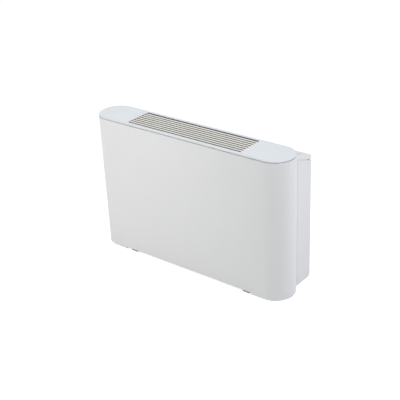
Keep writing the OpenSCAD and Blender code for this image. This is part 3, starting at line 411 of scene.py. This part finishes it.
# Open-cell foam: pores of two sizes, deeper at their middles, and darker there as painted shade
def cellFoam(name, look):
    f = Finish(name)
    coarse = f.cells(look["pores"], "Distance")
    fine = f.cells(look["pores"] * look["fineness"], "Distance")
    wall = f.grade(coarse + 0.5 * fine, 0.25, 0.95)
    return f.close({
        "Base Color": f.blend(wall, tone(look["pore"]), tone(look["wall"])),
        "Roughness": 0.86 + 0.1 * wall,
        "Specular IOR Level": 0.2,
        "Normal": f.bump(wall, 0.6, look["depth"]),
    })


foam = cellFoam("foam", {
    "pores": 420.0, "fineness": 2.7, "depth": 0.0008, "pore": (28, 29, 31), "wall": (66, 68, 72)})
print("plastics and foam made")

slotFinish = {
    "casing_paint": casingPaint, "cap_paint": capPaint, "grille_paint": grillePaint, "galvanised": galvanised,
    "rubber": rubber, "motor_paint": motorPaint, "cast_alloy": castAlloy, "steel": steel,
    "wheel_alloy": wheelAlloy, "fin_alloy": finAlloy, "copper": copper, "brass": brass,
    "tray_plastic": trayPlastic, "box_plastic": boxPlastic, "black_plastic": blackPlastic,
    "filter_plastic": filterPlastic, "netting": netting, "foam": foam,
}
ownFinish = {"rear_side_left": sidePaintShaded, "rear_side_right": sidePaintShaded, "outlet_collar": shadedDuctZinc}
for part in frame["record"]["subparts"]:
    slots = nodes[part["node"]].data.materials
    slots.clear()
    slots.append(ownFinish.get(part["node"], slotFinish[part["material_slot"]]))
print("finishes given to", len(nodes), "nodes")


# Pieces made from arrays
def addPiece(name, verts, faces, body, slot, stands, smooth):
    mesh = bpy.data.meshes.new(name)
    mesh.from_pydata(verts.tolist(), [], faces.tolist())
    mesh.update()
    mesh.polygons.foreach_set("use_smooth", np.full(len(mesh.polygons), smooth))
    mesh.materials.append(slotFinish[slot])
    piece = bpy.data.objects.new(name, mesh)
    scene.collection.objects.link(piece)
    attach(piece, body)
    if stands:
        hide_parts(*stands)
    print("piece", name, len(mesh.polygons), "faces")


def gridFaces(rows, columns):
    # quads between neighbouring points of a rows by columns grid
    first = (np.arange(rows - 1)[:, None] * columns + np.arange(columns - 1)[None, :]).reshape(-1, 1)
    return first + np.array([0, columns, columns + 1, 1])


def copies(verts, faces, offsets):
    # the same mesh set down once at each offset
    starts = np.arange(len(offsets)) * len(verts)
    allVerts = (offsets[:, None, :] + verts[None, :, :]).reshape(-1, 3)
    allFaces = (faces[None, :, :] + starts[:, None, None]).reshape(-1, faces.shape[1])
    return allVerts, allFaces


# Netting of the filter: straight square threads in two layers that cross
netLook = {
    "pitch": 0.0024, "thread": 0.00042, "layer": 0.00024, "node": "filter_mesh",
}


def filterNet(look):
    # a thread is a square section carried from edge to edge; one layer runs along X, the other along Y
    lo, hi = (np.array(corner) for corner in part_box(look["node"]))
    mid = (lo + hi) / 2
    ring = np.array([[-1.0, -1.0], [1.0, -1.0], [1.0, 1.0], [-1.0, 1.0]]) * look["thread"] / 2
    box = np.array([[0, 1, 2, 3], [7, 6, 5, 4], [0, 4, 5, 1], [1, 5, 6, 2], [2, 6, 7, 3], [3, 7, 4, 0]])
    layers = []
    for run, across, lift in ((0, 1, look["layer"]), (1, 0, -look["layer"])):
        ends = np.repeat([lo[run], hi[run]], 4)
        verts = np.zeros((8, 3))
        verts[:, run] = ends
        verts[:, across] = np.tile(ring[:, 0], 2)
        verts[:, 2] = np.tile(ring[:, 1], 2) + mid[2] + lift
        count = int((hi[across] - lo[across]) / look["pitch"])
        steps = (np.arange(count) + 0.5) * (hi[across] - lo[across]) / count + lo[across]
        offsets = np.zeros((count, 3))
        offsets[:, across] = steps
        faces = box[:, ::-1] if run == 0 else box
        layers.append(copies(verts, faces, offsets))
    verts = np.vstack([layer[0] for layer in layers])
    faces = np.vstack([layers[0][1], layers[1][1] + len(layers[0][0])])
    addPiece("filterNet", verts, faces, "filter", "netting", [look["node"]], False)


filterNet(netLook)

# Fin pack of the coil: rippled plates, far closer together than the plates that carry them in the solids
finLook = {
    "pitch": 0.0024, "thick": 0.00016, "tilt": 35.0, "ripple": 0.00035, "waves": 4, "node": "coil_fins",
    "rowSteps": 25, "endSteps": 2,
}


def finPack(look):
    # a fin is a plate over depth v and length u whose X wanders as a cosine of v, with a wall on either side;
    # the box round the leaning pack is depth cos + length sin deep and depth sin + length cos high
    lo, hi = (np.array(corner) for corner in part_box(look["node"]))
    tilt = math.radians(look["tilt"])
    along, up = math.sin(tilt), math.cos(tilt)
    depth, length = np.linalg.solve([[up, along], [along, up]], (hi - lo)[1:])
    v = np.linspace(0.0, depth, look["rowSteps"])[:, None]
    u = np.linspace(0.0, length, look["endSteps"])[None, :]
    wave = look["ripple"] * np.cos(2 * math.pi * look["waves"] * v / depth) + 0 * u
    y = lo[1] + v * up + u * along
    z = lo[2] + (depth - v) * along + u * up
    front = np.stack([wave + look["thick"] / 2, y, z], -1).reshape(-1, 3)
    back = np.stack([wave - look["thick"] / 2, y, z], -1).reshape(-1, 3)
    rows, columns = look["rowSteps"], look["endSteps"]
    quads = gridFaces(rows, columns)
    edge = np.concatenate([np.arange(columns), np.arange(1, rows) * columns + columns - 1,
                           (rows - 1) * columns + np.arange(columns - 2, -1, -1),
                           np.arange(rows - 2, 0, -1) * columns])
    nextEdge = np.roll(edge, -1)
    rim = np.stack([edge, nextEdge, nextEdge + rows * columns, edge + rows * columns], -1)
    verts = np.vstack([front, back])
    faces = np.vstack([quads, quads[:, ::-1] + rows * columns, rim])
    margin = look["ripple"] + look["thick"]
    count = int((hi[0] - lo[0] - 2 * margin) / look["pitch"])
    offsets = np.zeros((count + 1, 3))
    offsets[:, 0] = np.linspace(lo[0] + margin, hi[0] - margin, count + 1)
    packVerts, packFaces = copies(verts, faces, offsets)
    addPiece("finPack", packVerts, packFaces, "cabinet", "fin_alloy", [look["node"]], True)


finPack(finLook)


# Floor and light
floorLook = {"half": 9.0, "colour": (226, 226, 226), "grain": 0.985, "grainScale": 3.0, "glow": 0.74}
worldLook = {"colour": (255, 255, 255), "strength": 0.34}
lampLook = {
    "keyHigh": {"stand": (-0.70, -1.35, 1.9), "aim": (-0.15, -0.1, 0.35), "size": 1.0, "watts": 11.8,
                "tint": (255, 255, 255)},
    "keyLow": {"stand": (-0.48, -1.45, 0.85), "aim": (-0.15, -0.1, 0.25), "size": 1.0, "watts": 6.0,
               "tint": (255, 255, 254)},
    "sideFar": {"stand": (2.8, 0.7, 1.5), "aim": (0.2, 0.0, 0.3), "size": 1.6, "watts": 22.4,
                "tint": (244, 246, 255)},
    "sideHigh": {"stand": (1.6, -0.15, 1.5), "aim": (0.4, 0.0, 0.4), "size": 0.7, "watts": 6.6,
                 "tint": (244, 246, 255)},
    "backHigh": {"stand": (-0.7, 0.9, 1.7), "aim": (0.0, 0.0, 0.4), "size": 1.0, "watts": 5.5,
                 "tint": (255, 255, 255)},
}


def layFloor(look):
    # one flat quad under the object; rays that see it also get a glow, so it is white and keeps its shadow
    reach = look["half"]
    mesh = bpy.data.meshes.new("floor")
    mesh.from_pydata([(-reach, -reach, 0), (reach, -reach, 0), (reach, reach, 0), (-reach, reach, 0)], [],
                     [(0, 1, 2, 3)])
    f = Finish("floorPaper")
    grain = f.noise(look["grainScale"], 3.0)
    paper = f.node("ShaderNodeBsdfDiffuse", {}, {
        "Color": f.blend(grain, tone(look["colour"]), tone(look["colour"], look["grain"]))})
    glow = f.node("ShaderNodeEmission", {}, {"Color": (1, 1, 1, 1), "Strength": look["glow"]})
    lit = f.node("ShaderNodeAddShader", {}, {0: paper, 1: glow})
    surface = f.node("ShaderNodeMixShader", {}, {0: f.seen(), 1: paper, 2: lit})
    f.node("ShaderNodeOutputMaterial", {}, {"Surface": surface})
    mesh.materials.append(f.material)
    floor = bpy.data.objects.new("floor", mesh)
    scene.collection.objects.link(floor)


def lightWorld(look):
    # camera, glossy and transmission rays see plain white; the rest is lit at the given strength
    world = bpy.data.worlds.new("studio")
    world.use_nodes = True
    f = Finish("studio", world.node_tree)
    room = f.node("ShaderNodeBackground", {}, {"Color": tone(look["colour"]), "Strength": look["strength"]})
    white = f.node("ShaderNodeBackground", {}, {"Color": (1, 1, 1, 1), "Strength": 1.0})
    surface = f.node("ShaderNodeMixShader", {}, {0: f.seen(), 1: room, 2: white})
    f.node("ShaderNodeOutputWorld", {}, {"Surface": surface})
    scene.world = world


def hangLamp(name, look):
    data = bpy.data.lights.new(name, "AREA")
    data.shape = "DISK"
    data.size = look["size"]
    data.energy = look["watts"]
    data.color = tone(look["tint"])[:3]
    lamp = bpy.data.objects.new(name, data)
    scene.collection.objects.link(lamp)
    stand, aim = np.array(look["stand"]), np.array(look["aim"])
    back = (stand - aim) / np.linalg.norm(stand - aim)
    side = np.cross([0.0, 0.0, 1.0], back)
    side /= np.linalg.norm(side)
    axes = np.column_stack([side, np.cross(back, side), back, stand])
    lamp.matrix_world = Matrix(np.vstack([axes, [0.0, 0.0, 0.0, 1.0]]).tolist())


layFloor(floorLook)
lightWorld(worldLook)
for lampName, lampSettings in lampLook.items():
    hangLamp(lampName, lampSettings)
print("floor, world and", len(lampLook), "lamps set")
